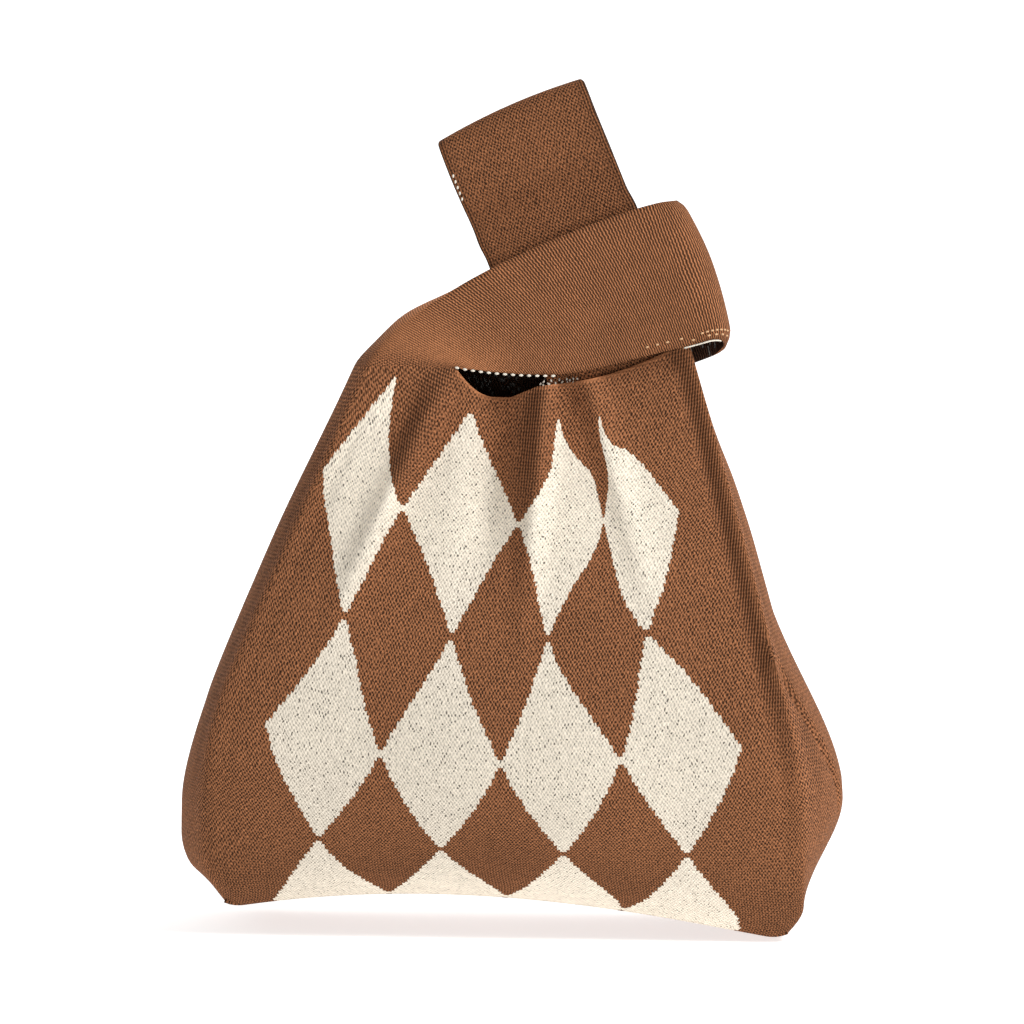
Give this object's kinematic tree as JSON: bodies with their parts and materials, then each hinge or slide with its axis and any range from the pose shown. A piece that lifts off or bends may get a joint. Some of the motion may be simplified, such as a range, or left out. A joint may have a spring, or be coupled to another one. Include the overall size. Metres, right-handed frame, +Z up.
{
  "type": "knitted knot handbag",
  "caption": "Soft knitted knot handbag standing on its base: argyle pouch, short handle over the mouth, long handle drawn through it and ending in a wrist loop.",
  "frame": {"origin": "middle of the base, on the surface that the bag stands on", "axes": "+Z up, the argyle front faces -Y, +X to the right of the front, where the long handle starts"},
  "size_m": [0.2803, 0.1012, 0.3592],
  "materials": {
    "argyle_knit": "double knit jacquard, brown with pale argyle diamonds",
    "brown_knit": "double knit, matt",
    "side_knit": "double knit, matt",
    "handle_knit": "double knit, stitches run across the handle",
    "seam_yarn": "linking yarn",
    "edging_yarn": "pale binding yarn"
  },
  "bodies": {
    "root": {"front_panel": "argyle_knit", "back_panel": "argyle_knit", "left_gusset": "side_knit", "right_gusset": "side_knit", "base_panel": "brown_knit", "front_left_seam": "seam_yarn", "front_right_seam": "seam_yarn", "back_left_seam": "seam_yarn", "back_right_seam": "seam_yarn", "front_mouth_hem": "brown_knit", "back_mouth_hem": "brown_knit", "short_handle_front": "handle_knit", "short_handle_back": "handle_knit", "short_handle_fold": "handle_knit", "short_handle_shoulder": "side_knit", "short_handle_front_edging": "edging_yarn", "short_handle_back_edging": "edging_yarn", "long_handle_front_foot": "handle_knit", "long_handle_back_foot": "handle_knit"},
    "long_handle": {"long_handle_front_slide": "handle_knit", "long_handle_back_slide": "handle_knit"},
    "carry_loop": {"carry_loop_band": "handle_knit", "carry_loop_roll": "handle_knit", "carry_loop_left_edging": "edging_yarn", "carry_loop_right_edging": "edging_yarn"}
  },
  "joints": [
    {"name": "handle_draw", "type": "slide", "parent": "root", "child": "long_handle", "axis": [-0.3584, 0, 0.9336], "range_m": [0, 0.02]},
    {"name": "loop_swing", "type": "hinge", "parent": "long_handle", "child": "carry_loop", "pos_m": [0.0185, 0, 0.3005], "axis": [0.9336, 0, 0.3584], "range_deg": [-95, 95]}
  ]
}
